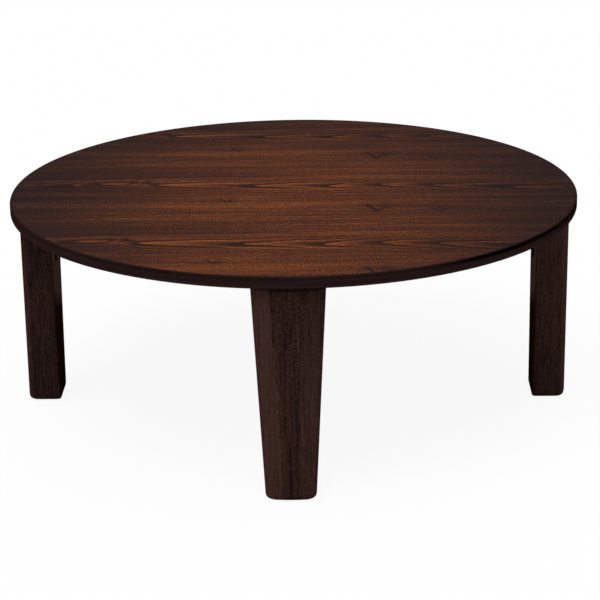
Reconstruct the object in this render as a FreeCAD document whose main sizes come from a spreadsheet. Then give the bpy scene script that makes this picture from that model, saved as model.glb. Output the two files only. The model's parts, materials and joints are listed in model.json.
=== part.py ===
import FreeCAD, Part
import math
import os
import Sketcher
from FreeCAD import Placement, Rotation, Vector

# Driving dimensions in millimetres
# The frame stands on the floor at z = 0, with the table's axis on Z and the front leg towards -Y.
SIZES = [
    ("table_height", 350),
    ("top_diameter", 900),
    ("top_thickness", 18),
    ("veneer_thickness", 0.6),
    ("leaf_width", 310),
    ("band_width", 4),
    ("band_round", 3),
    ("pad_height", 2),
    ("pad_diameter", 26),
    ("pad_setback", 28.2),
    ("frame_setback", 5.2),
    ("rail_height", 36),
    ("rail_width", 24),
    ("rail_round", 2),
    ("block_width", 90),
    ("dowel_diameter", 8),
    ("dowel_length", 36),
    ("dowel_spacing", 18),
    ("steel_thickness", 2.3),
    ("stop_gap", 0.2),
    ("leg_inset", 10),
    ("leg_depth", 55),
    ("leg_top_width", 108),
    ("leg_foot_width", 74),
    ("leg_crown_radius", 150),
    ("leg_outer_round", 10),
    ("leg_inner_round", 5),
    ("foot_pad_height", 2),
    ("foot_pad_width", 46),
    ("foot_pad_depth", 28),
    ("plate_width", 40),
    ("plate_drop", 42),
    ("plate_rise", 45),
    ("barrel_size", 14),
    ("barrel_round", 2),
    ("pin_diameter", 6),
    ("pin_head_diameter", 10),
    ("pin_head_height", 2),
    ("turning_clearance", 0.05),
    ("ear_radius", 8.5),
    ("ear_root", 34),
    ("ear_gap", 0.3),
    ("bracket_length", 64),
    ("bracket_rise", 32),
    ("spring_thickness", 1),
    ("spring_width", 16),
    ("spring_gap", 0.05),
    ("spring_room", 3.65),
    ("spring_pad_length", 16),
    ("spring_slope_length", 14),
    ("screw_diameter", 4),
    ("screw_head_diameter", 8),
    ("screw_head_height", 2),
    ("screw_length", 22),
    ("screw_edge", 8),
    ("heater_width", 300),
    ("heater_corner", 14),
    ("heater_sheet", 1.2),
    ("heater_top_gap", 4),
    ("heater_side_gap", 1),
    ("flange_width", 26),
    ("flange_end", 12),
    ("guard_drop", 16.8),
    ("guard_width", 276),
    ("guard_rim", 8),
    ("guard_screw_spacing", 220),
    ("guard_wall", 1),
    ("guard_corner", 12),
    ("guard_bottom_round", 3),
    ("slot_width", 7),
    ("slot_length", 118),
    ("slot_pitch", 20),
    ("slot_rib", 14),
    ("reflector_sheet", 0.6),
    ("reflector_drop", 7),
    ("reflector_depth", 19.4),
    ("reflector_flat", 220),
    ("reflector_gap", 0.3),
    ("tube_diameter", 10),
    ("tube_wall", 1),
    ("tube_length", 260),
    ("tube_spacing", 150),
    ("tube_drop", 19),
    ("holder_spacing", 236),
    ("holder_length", 12),
    ("holder_width", 18),
    ("holder_tail", 7),
    ("motor_diameter", 44),
    ("motor_height", 13),
    ("motor_lid", 1),
    ("can_round", 1),
    ("shaft_gap", 1),
    ("shaft_diameter", 4),
    ("shaft_length", 22),
    ("hub_diameter", 18),
    ("hub_height", 9),
    ("hub_drop", 1),
    ("fan_diameter", 92),
    ("blade_width", 24),
    ("blade_sheet", 1),
    ("blade_pitch", 24),
    ("thermostat_diameter", 16),
    ("thermostat_height", 8),
    ("thermostat_reach", 88),
    ("terminal_length", 30),
    ("terminal_width", 16),
    ("terminal_height", 5.5),
    ("terminal_reach", 96),
    ("inlet_width", 34),
    ("inlet_length", 22),
    ("inlet_height", 24),
    ("inlet_wall", 2.5),
    ("inlet_drop", 3),
    ("inlet_pin_diameter", 4),
    ("inlet_pin_length", 15),
    ("inlet_pin_pitch", 9),
]
BLADES = 5
SLOT_ROWS = 12
INLET_PINS = 3
STATION_NAMES = ("front", "right", "back", "left")
SIDE_NAMES = ("front_right", "back_right", "back_left", "front_left")
STATION_ANGLE = 360 / len(STATION_NAMES)
SIDE_ANGLE = STATION_ANGLE / 2
STATIONS = [(name, STATION_ANGLE * index) for index, name in enumerate(STATION_NAMES)]
SIDES = [(name, SIDE_ANGLE + STATION_ANGLE * index) for index, name in enumerate(SIDE_NAMES)]
HALF_ROOT = math.sqrt(0.5)

# Edges are told apart by their places to within this distance
NEAR = 0.1

doc = FreeCAD.newDocument("RoundKotatsuTable")
sheet = doc.addObject("Spreadsheet::Sheet", "Sizes")
for row, (alias, number) in enumerate(SIZES, 1):
    sheet.set(f"A{row}", alias)
    sheet.set(f"B{row}", str(number))
    sheet.setAlias(f"B{row}", alias)
doc.recompute()


class Size:
    """A length that carries both its number and the sheet expression that drives it."""

    def __init__(self, value, text):
        self.value = value
        self.text = text

    def __add__(self, other):
        other = as_size(other)
        return Size(self.value + other.value, f"({self.text} + {other.text})")

    def __sub__(self, other):
        other = as_size(other)
        return Size(self.value - other.value, f"({self.text} - {other.text})")

    def __mul__(self, factor):
        return Size(self.value * factor, f"({self.text} * {factor!r})")

    def __truediv__(self, divisor):
        return Size(self.value / divisor, f"({self.text} / {divisor!r})")

    def __neg__(self):
        return Size(-self.value, f"(0 - {self.text})")


def as_size(item):
    return item if isinstance(item, Size) else Size(float(item), repr(float(item)))


class Dimensions:
    """The sheet's cells as attributes."""


dim = Dimensions()
for alias, number in SIZES:
    setattr(dim, alias, Size(float(sheet.get(alias)), f"Sizes.{alias}"))

ZERO = Size(0.0, "0")

# Heights and reaches that several pieces share
rim_radius = dim.top_diameter / 2
core_radius = rim_radius - dim.band_width
underside = dim.table_height - dim.top_thickness
frame_top = underside - dim.pad_height
frame_bottom = frame_top - dim.rail_height
leg_outer = rim_radius - dim.leg_inset
leg_inner = leg_outer - dim.leg_depth
plate_face = leg_inner - dim.steel_thickness
stop_face = plate_face - dim.stop_gap
block_face = stop_face - dim.steel_thickness
bracket_end = stop_face - dim.bracket_length
base_underside = frame_bottom - dim.steel_thickness
pivot_reach = plate_face - dim.barrel_size / 2
spring_top = base_underside - dim.spring_room
spring_under = spring_top - dim.spring_thickness
pivot_height = spring_under - dim.spring_gap - dim.barrel_size / 2
bore_radius = dim.pin_diameter / 2 + dim.turning_clearance
screw_hole = dim.screw_diameter / 2 + dim.turning_clearance
frame_reach = block_face - dim.frame_setback
pad_reach = block_face - dim.pad_setback
rail_outer = frame_reach * HALF_ROOT
rail_inner = rail_outer - dim.rail_width
rail_half_length = (frame_reach - dim.block_width) * HALF_ROOT
rail_middle = rail_outer - dim.rail_width / 2
frame_middle = frame_top - dim.rail_height / 2
dowel_hole = dim.dowel_diameter / 2 + dim.turning_clearance
ear_start = dim.plate_width / 2 + dim.ear_gap
ear_end = ear_start + dim.steel_thickness
heater_half = dim.heater_width / 2
heater_inside = heater_half - dim.heater_sheet
heater_top = frame_top - dim.heater_top_gap
cross_rail_start = heater_half + dim.heater_side_gap
flange_under = frame_bottom - dim.heater_sheet
guard_under = flange_under - dim.guard_drop
guard_half = dim.guard_width / 2
guard_rim_half = heater_half + dim.guard_rim
reflector_top = heater_top - dim.reflector_drop
reflector_under = reflector_top - dim.reflector_sheet
tube_height = reflector_under - dim.tube_drop
motor_under = reflector_under - dim.motor_height

# Screw places on the bracket's base, as (across, reach) pairs, and on the leg plate, as (across, up) pairs
spring_screw_reach = bracket_end + dim.spring_pad_length / 2
base_screw_across = dim.plate_width / 2 - dim.screw_edge + dim.steel_thickness
base_screws = [
    (base_screw_across * side, reach)
    for side in (-1, 1)
    for reach in (bracket_end + dim.screw_edge, bracket_end + dim.spring_pad_length + dim.screw_edge)
]
plate_screw_across = dim.plate_width / 2 - dim.screw_edge
plate_screws = [
    (plate_screw_across * side, pivot_height - dim.plate_drop + dim.screw_edge * row)
    for side in (-1, 1)
    for row in (1, 3)
]
mount_screw_side = cross_rail_start + dim.flange_width / 2 + dim.screw_diameter
mount_screw_end = heater_half - dim.heater_corner * 2
mount_screws = [(mount_screw_end * end, mount_screw_side * side) for end in (-1, 1) for side in (-1, 1)]
guard_screw_end = guard_rim_half - dim.guard_rim / 2
guard_screw_side = dim.guard_screw_spacing / 2
guard_screws = [(guard_screw_end * end, guard_screw_side * side) for end in (-1, 1) for side in (-1, 1)]


# Sketch and feature helpers
def new_body(label, turn=0):
    body = doc.addObject("PartDesign::Body", label)
    body.Label = label
    body.Placement = Placement(Vector(), Rotation(Vector(0, 0, 1), turn))
    return body


def origin_feature(body, role):
    return next(item for item in body.Origin.OriginFeatures if item.Role == role)


def new_sketch(body, plane, name, offset=None):
    sketch = body.newObject("Sketcher::SketchObject", name)
    sketch.AttachmentSupport = [(origin_feature(body, plane), "")]
    sketch.MapMode = "FlatFace"
    if offset is not None:
        sketch.setExpression("AttachmentOffset.Base.z", offset.text)
    return sketch


def hold(sketch, kind, size, *places):
    index = sketch.addConstraint(Sketcher.Constraint(kind, *places, size.value))
    sketch.setExpression(f"Constraints[{index}]", size.text)


def pin_point(sketch, curve, end, across, up):
    for kind, axis, size in (("DistanceX", -2, across), ("DistanceY", -1, up)):
        if size is ZERO:
            sketch.addConstraint(Sketcher.Constraint("PointOnObject", curve, end, axis))
        else:
            hold(sketch, kind, size, -1, 1, curve, end)


def draw_polygon(sketch, points):
    first = sketch.GeometryCount
    count = len(points)
    spots = [Vector(across.value, up.value, 0) for across, up in points]
    for index in range(count):
        sketch.addGeometry(Part.LineSegment(spots[index], spots[(index + 1) % count]))
    for index in range(count):
        following = first + (index + 1) % count
        sketch.addConstraint(Sketcher.Constraint("Coincident", first + index, 2, following, 1))
    for index, (across, up) in enumerate(points):
        pin_point(sketch, first + index, 1, across, up)


def draw_box(sketch, left, right, low, high):
    draw_polygon(sketch, [(left, low), (right, low), (right, high), (left, high)])


def draw_circle(sketch, across, up, radius):
    circle = Part.Circle(Vector(across.value, up.value, 0), Vector(0, 0, 1), radius.value)
    index = sketch.addGeometry(circle)
    pin_point(sketch, index, 3, across, up)
    hold(sketch, "Radius", radius, index)


def draw_round_box(sketch, half_across, half_up, radius):
    """A centred rectangle with rounded corners: four sides joined by four quarter arcs."""
    flat_across = half_across - radius
    flat_up = half_up - radius
    corners = [(1, -1), (1, 1), (-1, 1), (-1, -1)]
    first = sketch.GeometryCount
    for index, (right, top) in enumerate(corners):
        centre = Vector(flat_across.value * right, flat_up.value * top, 0)
        start = math.radians(90 * (index - 1))
        circle = Part.Circle(centre, Vector(0, 0, 1), radius.value)
        sketch.addGeometry(Part.ArcOfCircle(circle, start, start + math.pi / 2))
        pin_point(sketch, first + index, 3, flat_across * right, flat_up * top)
        hold(sketch, "Radius", radius, first + index)
    for index in range(4):
        following = (index + 1) % 4
        begin = sketch.getPoint(first + index, 2)
        finish = sketch.getPoint(first + following, 1)
        side = sketch.addGeometry(Part.LineSegment(begin, finish))
        sketch.addConstraint(Sketcher.Constraint("Tangent", first + index, 2, side, 1))
        sketch.addConstraint(Sketcher.Constraint("Tangent", side, 2, first + following, 1))


def pad(body, sketch, length, symmetric=False, reverse=False):
    feature = body.newObject("PartDesign::Pad", f"{sketch.Name}_pad")
    feature.Profile = sketch
    feature.setExpression("Length", length.text)
    feature.SideType = "Symmetric" if symmetric else "One side"
    feature.Reversed = reverse
    sketch.Visibility = False
    doc.recompute()
    return feature


def pocket(body, sketch, length=None, symmetric=False, reverse=False):
    before = body.Shape.Volume
    feature = body.newObject("PartDesign::Pocket", f"{sketch.Name}_pocket")
    feature.Profile = sketch
    feature.SideType = "Symmetric" if symmetric else "One side"
    feature.Reversed = reverse
    if length is None:
        feature.Type = "ThroughAll"
    else:
        feature.setExpression("Length", length.text)
    doc.recompute()
    if not body.Shape.Volume < before:
        raise ValueError(f"{body.Label}: {sketch.Name} cuts nothing")
    return feature


def edges_where(shape, test):
    return [f"Edge{index}" for index, edge in enumerate(shape.Edges, 1) if test(edge)]


def fillet(body, radius, test):
    base = body.Tip
    feature = body.newObject("PartDesign::Fillet", f"{base.Name}_round")
    feature.Base = (base, edges_where(base.Shape, test))
    feature.setExpression("Radius", radius.text)
    doc.recompute()
    return feature


def group(label, shapes):
    """Several separate solids of one kind under one name."""
    item = doc.addObject("Part::Feature", label)
    item.Label = label
    item.Shape = Part.makeCompound(shapes)
    return item


def screw_shape(place, heading, length):
    """A pan-head screw whose head seats at place and whose shank runs along heading."""
    head_radius = dim.screw_head_diameter.value / 2
    head_height = dim.screw_head_height.value
    dome = Part.makeCylinder(head_radius, head_height, place, heading * -1)
    rim = [edge for edge in dome.Edges if abs((edge.CenterOfMass - place).Length - head_height) < NEAR]
    dome = dome.makeFillet(head_height / 2, rim)
    shank = Part.makeCylinder(dim.screw_diameter.value / 2, length.value, place, heading)
    return dome.fuse(shank).removeSplitter()


def turned(shape, turn):
    copy = shape.copy()
    copy.rotate(Vector(), Vector(0, 0, 1), turn)
    return copy


# Loose top board
def make_disc(label, radius, low, thickness):
    disc = doc.addObject("Part::Cylinder", label)
    disc.Label = label
    disc.setExpression("Radius", radius.text)
    disc.setExpression("Height", thickness.text)
    disc.setExpression("Placement.Base.z", low.text)
    return disc


def make_edge_band():
    """The lipping: a ring with both outer arrises rounded, turned about the table's axis."""
    body = new_body("edge_band")
    sketch = new_sketch(body, "XZ_Plane", "band_section")
    draw_box(sketch, core_radius, rim_radius, underside, dim.table_height)
    feature = body.newObject("PartDesign::Revolution", "band_turned")
    feature.Profile = sketch
    feature.ReferenceAxis = (origin_feature(body, "Z_Axis"), [""])
    feature.Angle = 360
    doc.recompute()
    inside = core_radius.value + NEAR
    fillet(body, dim.band_round, lambda edge: edge.BoundBox.XMax > inside and is_level(edge))
    return body


def is_level(edge):
    return edge.BoundBox.ZLength < NEAR


def make_veneer_leaf(label, near, far):
    """One leaf of the slip-matched face, cut from the disc by straight seams near and far along Y."""
    low = dim.table_height - dim.veneer_thickness
    disc = make_disc(f"{label}_disc", core_radius, low, dim.veneer_thickness)
    strip = doc.addObject("Part::Box", f"{label}_strip")
    strip.setExpression("Length", dim.top_diameter.text)
    strip.setExpression("Width", (far - near).text)
    strip.setExpression("Height", dim.top_thickness.text)
    strip.setExpression("Placement.Base.x", (-rim_radius).text)
    strip.setExpression("Placement.Base.y", near.text)
    strip.setExpression("Placement.Base.z", underside.text)
    leaf = doc.addObject("Part::Common", label)
    leaf.Label = label
    leaf.Base = disc
    leaf.Tool = strip
    return leaf


def make_top():
    core_low = underside + dim.veneer_thickness
    core_thickness = dim.top_thickness - dim.veneer_thickness * 2
    seam = dim.leaf_width / 2
    return [
        make_disc("top_core", core_radius, core_low, core_thickness),
        make_disc("backing_sheet", core_radius, underside, dim.veneer_thickness),
        make_edge_band(),
        make_veneer_leaf("veneer_leaf_front", -rim_radius, -seam),
        make_veneer_leaf("veneer_leaf_middle", -seam, seam),
        make_veneer_leaf("veneer_leaf_rear", seam, rim_radius),
    ]


# Under-frame
def make_rail(side, turn):
    """A straight rail between two corner blocks, with two dowel holes in each end."""
    body = new_body(f"rail_{side}", turn)
    plan = new_sketch(body, "XY_Plane", f"rail_plan_{side}", frame_bottom)
    draw_box(plan, -rail_half_length, rail_half_length, -rail_outer, -rail_inner)
    pad(body, plan, dim.rail_height)
    low = frame_bottom.value + NEAR
    fillet(body, dim.rail_round, lambda edge: edge.BoundBox.XLength > NEAR and edge.BoundBox.ZMax < low)
    for end in (-1, 1):
        holes = new_sketch(body, "YZ_Plane", f"rail_holes_{side}_{end + 1}", rail_half_length * end)
        for step in (-1, 1):
            draw_circle(holes, -rail_middle, frame_middle + dim.dowel_spacing / 2 * step, dowel_hole)
        pocket(body, holes, dim.dowel_length / 2 + dim.turning_clearance, reverse=end < 0)
    return body


def make_corner_block(station, turn):
    """A block behind each leg: rails butt on its slanting sides, the bracket on its front and base."""
    half = dim.block_width / 2
    shoulder = frame_reach - half
    nose = dim.rail_width * HALF_ROOT
    body = new_body(f"corner_block_{station}", turn)
    plan = new_sketch(body, "XY_Plane", f"block_plan_{station}", frame_bottom)
    draw_polygon(
        plan,
        [
            (-half, -block_face),
            (half, -block_face),
            (half, -shoulder),
            (half - nose, -(shoulder - nose)),
            (-(half - nose), -(shoulder - nose)),
            (-half, -shoulder),
        ],
    )
    pad(body, plan, dim.rail_height)
    for side in (-1, 1):
        holes = body.newObject("Sketcher::SketchObject", f"block_holes_{station}_{side + 1}")
        holes.AttachmentSupport = [(origin_feature(body, "YZ_Plane"), "")]
        holes.MapMode = "FlatFace"
        holes.AttachmentOffset = Placement(Vector(), Rotation(Vector(0, 1, 0), SIDE_ANGLE * side))
        setback = (frame_reach - dim.block_width) / 2
        holes.setExpression("AttachmentOffset.Base.x", (-setback).text)
        holes.setExpression("AttachmentOffset.Base.z", (setback * -side).text)
        for step in (-1, 1):
            draw_circle(holes, -rail_middle, frame_middle + dim.dowel_spacing / 2 * step, dowel_hole)
        pocket(body, holes, dim.dowel_length / 2 + dim.turning_clearance, reverse=side < 0)
    drilled = new_sketch(body, "XY_Plane", f"block_pilots_{station}", frame_bottom)
    for across, reach in base_screws:
        draw_circle(drilled, across, -reach, screw_hole)
    draw_circle(drilled, ZERO, -spring_screw_reach, screw_hole)
    pocket(body, drilled, dim.screw_length, reverse=True)
    return body


def make_dowels():
    """Sixteen beech dowels, two across each joint of rail and block."""
    dowels = []
    half_length = dim.dowel_length.value / 2
    radius = dim.dowel_diameter.value / 2
    for _, turn in SIDES:
        for end in (-1, 1):
            for step in (-1, 1):
                height = frame_middle.value + dim.dowel_spacing.value / 2 * step
                start = Vector(rail_half_length.value * end - half_length, -rail_middle.value, height)
                dowel = Part.makeCylinder(radius, half_length * 2, start, Vector(1, 0, 0))
                dowels.append(turned(dowel, turn))
    return group("frame_dowels", dowels)


def make_cross_rail(label, side):
    """A rail between two opposite side rails, which the heater's flange is screwed under."""
    body = new_body(label, SIDE_ANGLE)
    plan = new_sketch(body, "XY_Plane", f"{label}_plan", frame_bottom)
    near = cross_rail_start * side
    far = (cross_rail_start + dim.rail_width) * side
    draw_box(plan, -rail_inner, rail_inner, near, far)
    pad(body, plan, dim.rail_height)
    drilled = new_sketch(body, "XY_Plane", f"{label}_pilots", frame_bottom)
    for along, across in mount_screws:
        if across.value * side > 0:
            draw_circle(drilled, along, across, screw_hole)
    pocket(body, drilled, dim.screw_length, reverse=True)
    return body


def make_board_pads():
    """Four rubber discs on the corner blocks, which keep the loose board from sliding."""
    pads = []
    for _, turn in STATIONS:
        place = Vector(0, -pad_reach.value, frame_top.value)
        disc = Part.makeCylinder(dim.pad_diameter.value / 2, dim.pad_height.value, place)
        pads.append(turned(disc, turn))
    return group("board_pads", pads)


# Folding hardware
def make_bracket(station, turn):
    """The fixed half of the hinge: a base under the block, a stop flange up its face, and pin ears."""
    body = new_body(f"fold_bracket_{station}", turn)
    side_view = new_sketch(body, "YZ_Plane", f"bracket_bend_{station}")
    draw_polygon(
        side_view,
        [
            (-bracket_end, base_underside),
            (-stop_face, base_underside),
            (-stop_face, frame_bottom + dim.bracket_rise),
            (-block_face, frame_bottom + dim.bracket_rise),
            (-block_face, frame_bottom),
            (-bracket_end, frame_bottom),
        ],
    )
    pad(body, side_view, ear_end * 2, symmetric=True)
    for side in (-1, 1):
        start = ear_start if side > 0 else -ear_end
        web = new_sketch(body, "YZ_Plane", f"bracket_ear_{station}_{side + 1}", start)
        tip = pivot_reach + dim.ear_radius
        draw_polygon(
            web,
            [
                (-(tip - dim.ear_root), frame_bottom - dim.steel_thickness / 2),
                (-(pivot_reach - dim.ear_radius), pivot_height),
                (-tip, pivot_height),
                (-tip, frame_bottom - dim.steel_thickness / 2),
            ],
        )
        pad(body, web, dim.steel_thickness)
        eye = new_sketch(body, "YZ_Plane", f"bracket_eye_{station}_{side + 1}", start)
        draw_circle(eye, -pivot_reach, pivot_height, dim.ear_radius)
        pad(body, eye, dim.steel_thickness)
    pin_holes = new_sketch(body, "YZ_Plane", f"bracket_bore_{station}")
    draw_circle(pin_holes, -pivot_reach, pivot_height, bore_radius)
    pocket(body, pin_holes, ear_end * 4, symmetric=True)
    drilled = new_sketch(body, "XY_Plane", f"bracket_holes_{station}", base_underside)
    for across, reach in base_screws:
        draw_circle(drilled, across, -reach, screw_hole)
    draw_circle(drilled, ZERO, -spring_screw_reach, screw_hole)
    pocket(body, drilled, dim.steel_thickness, reverse=True)
    return body


def make_spring(station, turn):
    """The detent leaf: screwed under the base and stepped down, so that its end lies on the barrel."""
    body = new_body(f"detent_spring_{station}", turn)
    pad_end = bracket_end + dim.spring_pad_length
    flat_start = pad_end + dim.spring_slope_length
    flat_end = pivot_reach + dim.barrel_size / 2 - dim.spring_thickness
    side_view = new_sketch(body, "YZ_Plane", f"spring_bend_{station}")
    draw_polygon(
        side_view,
        [
            (-bracket_end, base_underside),
            (-bracket_end, base_underside - dim.spring_thickness),
            (-(pad_end - dim.spring_thickness / 2), base_underside - dim.spring_thickness),
            (-(flat_start - dim.spring_thickness / 2), spring_under),
            (-flat_end, spring_under),
            (-flat_end, spring_top),
            (-flat_start, spring_top),
            (-pad_end, base_underside),
        ],
    )
    pad(body, side_view, dim.spring_width, symmetric=True)
    drilled = new_sketch(body, "XY_Plane", f"spring_hole_{station}", base_underside)
    draw_circle(drilled, ZERO, -spring_screw_reach, screw_hole)
    pocket(body, drilled, dim.spring_thickness)
    return body


def make_hinge_pins():
    """One pin per leg, with a head outside each ear."""
    pins = []
    along = Vector(1, 0, 0)
    head_start = ear_end.value + dim.turning_clearance.value
    radius = dim.pin_diameter.value / 2
    reach = Vector(0, -pivot_reach.value, pivot_height.value)
    for _, turn in STATIONS:
        pin = Part.makeCylinder(radius, head_start * 2, reach - along * head_start, along)
        for side in (-1, 1):
            seat = reach + along * (head_start * side)
            head = Part.makeCylinder(
                dim.pin_head_diameter.value / 2, dim.pin_head_height.value, seat, along * side
            )
            pin = pin.fuse(head)
        pins.append(turned(pin.removeSplitter(), turn))
    return group("hinge_pins", pins)


def make_base_screws():
    screws = []
    for _, turn in STATIONS:
        for across, reach in base_screws:
            seat = Vector(across.value, -reach.value, base_underside.value)
            screws.append(turned(screw_shape(seat, Vector(0, 0, 1), dim.screw_length), turn))
    return group("bracket_screws", screws)


def make_spring_screws():
    screws = []
    for _, turn in STATIONS:
        height = base_underside.value - dim.spring_thickness.value
        seat = Vector(0, -spring_screw_reach.value, height)
        screws.append(turned(screw_shape(seat, Vector(0, 0, 1), dim.screw_length), turn))
    return group("spring_screws", screws)


# Folding legs
def make_leg(station, turn):
    """A wide board that tapers to the foot, with a crowned outer face and rounded outer edges."""
    half_top = dim.leg_top_width / 2
    half_foot = dim.leg_foot_width / 2
    body = new_body(f"leg_{station}", turn)
    face = new_sketch(body, "XZ_Plane", f"leg_taper_{station}", leg_inner)
    draw_polygon(
        face,
        [
            (-half_foot, dim.foot_pad_height),
            (half_foot, dim.foot_pad_height),
            (half_top, frame_top),
            (-half_top, frame_top),
        ],
    )
    pad(body, face, dim.leg_depth)
    cut_crown(body, station, half_top)
    top = frame_top.value - NEAR
    inner = -leg_inner.value - NEAR
    fillet(body, dim.leg_outer_round, lambda edge: edge.CenterOfMass.z < top and edge.CenterOfMass.y < inner)
    fillet(body, dim.leg_inner_round, lambda edge: edge.CenterOfMass.z < top and edge.BoundBox.YMin > inner)
    pilots = new_sketch(body, "XZ_Plane", f"leg_pilots_{station}", leg_inner)
    for across, up in plate_screws:
        draw_circle(pilots, across, up, screw_hole)
    pocket(body, pilots, dim.screw_length, reverse=True)
    return body


def cut_crown(body, station, half_top):
    """Pares the outer face to an arc about a vertical axis, highest on the leg's centre line."""
    spare = dim.leg_outer_round
    edge = half_top + spare
    centre_reach = leg_outer - dim.leg_crown_radius
    outside = leg_outer + spare
    sketch = new_sketch(body, "XY_Plane", f"leg_crown_{station}", frame_top)
    centre = Vector(0, -centre_reach.value, 0)
    swing = math.asin(edge.value / dim.leg_crown_radius.value)
    circle = Part.Circle(centre, Vector(0, 0, 1), dim.leg_crown_radius.value)
    arc = sketch.addGeometry(Part.ArcOfCircle(circle, -math.pi / 2 - swing, -math.pi / 2 + swing))
    left, right = sketch.getPoint(arc, 1), sketch.getPoint(arc, 2)
    lower_right = Vector(edge.value, -outside.value, 0)
    lower_left = Vector(-edge.value, -outside.value, 0)
    runs = [(right, lower_right), (lower_right, lower_left), (lower_left, left)]
    first = arc + 1
    for begin, finish in runs:
        sketch.addGeometry(Part.LineSegment(begin, finish))
    joints = [
        (arc, 2, first, 1),
        (first, 2, first + 1, 1),
        (first + 1, 2, first + 2, 1),
        (first + 2, 2, arc, 1),
    ]
    for joint in joints:
        sketch.addConstraint(Sketcher.Constraint("Coincident", *joint))
    pin_point(sketch, arc, 3, ZERO, -centre_reach)
    hold(sketch, "Radius", dim.leg_crown_radius, arc)
    hold(sketch, "DistanceX", edge, -1, 1, arc, 2)
    hold(sketch, "DistanceX", -edge, -1, 1, arc, 1)
    pin_point(sketch, first + 1, 1, edge, -outside)
    pin_point(sketch, first + 1, 2, -edge, -outside)
    pocket(body, sketch)


def make_leg_plate(station, turn):
    """The moving half of the hinge: a strap on the leg, with a square barrel whose flats meet the spring."""
    half = dim.plate_width / 2
    body = new_body(f"leg_plate_{station}", turn)
    strap = new_sketch(body, "XZ_Plane", f"strap_{station}", plate_face)
    draw_box(strap, -half, half, pivot_height - dim.plate_drop, pivot_height + dim.plate_rise)
    pad(body, strap, dim.steel_thickness)
    square = new_sketch(body, "YZ_Plane", f"barrel_{station}")
    flat = dim.barrel_size / 2
    inner_side = -(pivot_reach - flat)
    draw_box(square, -plate_face, inner_side, pivot_height - flat, pivot_height + flat)
    pad(body, square, dim.plate_width, symmetric=True)
    inner = inner_side.value - NEAR
    fillet(body, dim.barrel_round, lambda edge: edge.BoundBox.YMin > inner and edge.BoundBox.XLength > NEAR)
    bore = new_sketch(body, "YZ_Plane", f"barrel_bore_{station}")
    draw_circle(bore, -pivot_reach, pivot_height, bore_radius)
    pocket(body, bore, dim.plate_width * 2, symmetric=True)
    holes = new_sketch(body, "XZ_Plane", f"strap_holes_{station}", plate_face)
    for across, up in plate_screws:
        draw_circle(holes, across, up, screw_hole)
    pocket(body, holes, dim.steel_thickness, reverse=True)
    return body


def make_plate_screws(station, turn):
    screws = []
    for across, up in plate_screws:
        seat = Vector(across.value, -plate_face.value, up.value)
        screws.append(turned(screw_shape(seat, Vector(0, -1, 0), dim.screw_length), turn))
    return group(f"plate_screws_{station}", screws)


def make_foot_pad(station, turn):
    """A felt pad under the foot."""
    middle = leg_inner + dim.leg_depth / 2
    body = new_body(f"foot_pad_{station}", turn)
    plan = new_sketch(body, "XY_Plane", f"foot_pad_plan_{station}")
    half = dim.foot_pad_width / 2
    reach = dim.foot_pad_depth / 2
    draw_box(plan, -half, half, -(middle + reach), -(middle - reach))
    pad(body, plan, dim.foot_pad_height)
    return body


# Heater unit, drawn square to its own sides and turned into the frame
def make_housing():
    """A shallow pressed tray, open below, with a flange all round for the mounting screws and the guard."""
    body = new_body("heater_housing", SIDE_ANGLE)
    outline = new_sketch(body, "XY_Plane", "housing_outline", frame_bottom)
    draw_round_box(outline, heater_half, heater_half, dim.heater_corner)
    pad(body, outline, heater_top - frame_bottom)
    flange = new_sketch(body, "XY_Plane", "housing_flange", flange_under)
    draw_round_box(flange, heater_half + dim.flange_end, heater_half + dim.flange_width, dim.heater_corner)
    pad(body, flange, dim.heater_sheet)
    inside = new_sketch(body, "XY_Plane", "housing_inside", flange_under)
    draw_round_box(inside, heater_inside, heater_inside, dim.heater_corner - dim.heater_sheet)
    pocket(body, inside, heater_top - flange_under - dim.heater_sheet, reverse=True)
    holes = new_sketch(body, "XY_Plane", "housing_holes", flange_under)
    for along, across in mount_screws + guard_screws:
        draw_circle(holes, along, across, screw_hole)
    pocket(body, holes, dim.heater_sheet, reverse=True)
    return body


def make_reflector():
    """A bright tray with a flat back and two sloping sides, which throws the heat down."""
    skirt = heater_inside - dim.reflector_gap
    flat = dim.reflector_flat / 2
    low = reflector_under - dim.reflector_depth
    body = new_body("heater_reflector", SIDE_ANGLE)
    section = new_sketch(body, "YZ_Plane", "reflector_section")
    draw_polygon(
        section,
        [
            (-skirt, low),
            (-flat + dim.reflector_sheet / 2, reflector_under),
            (flat - dim.reflector_sheet / 2, reflector_under),
            (skirt, low),
            (skirt, low + dim.reflector_sheet),
            (flat, reflector_top),
            (-flat, reflector_top),
            (-skirt, low + dim.reflector_sheet),
        ],
    )
    pad(body, section, (heater_inside - dim.heater_corner) * 2, symmetric=True)
    return body


def make_tubes():
    """Two quartz tubes side by side, open through their length."""
    tubes = []
    length = dim.tube_length.value
    outer = dim.tube_diameter.value / 2
    for side in (-1, 1):
        start = Vector(-length / 2, dim.tube_spacing.value / 2 * side, tube_height.value)
        tube = Part.makeCylinder(outer, length, start, Vector(1, 0, 0))
        bore = Part.makeCylinder(outer - dim.tube_wall.value, length, start, Vector(1, 0, 0))
        tubes.append(turned(tube.cut(bore), SIDE_ANGLE))
    return group("quartz_tubes", tubes)


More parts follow.
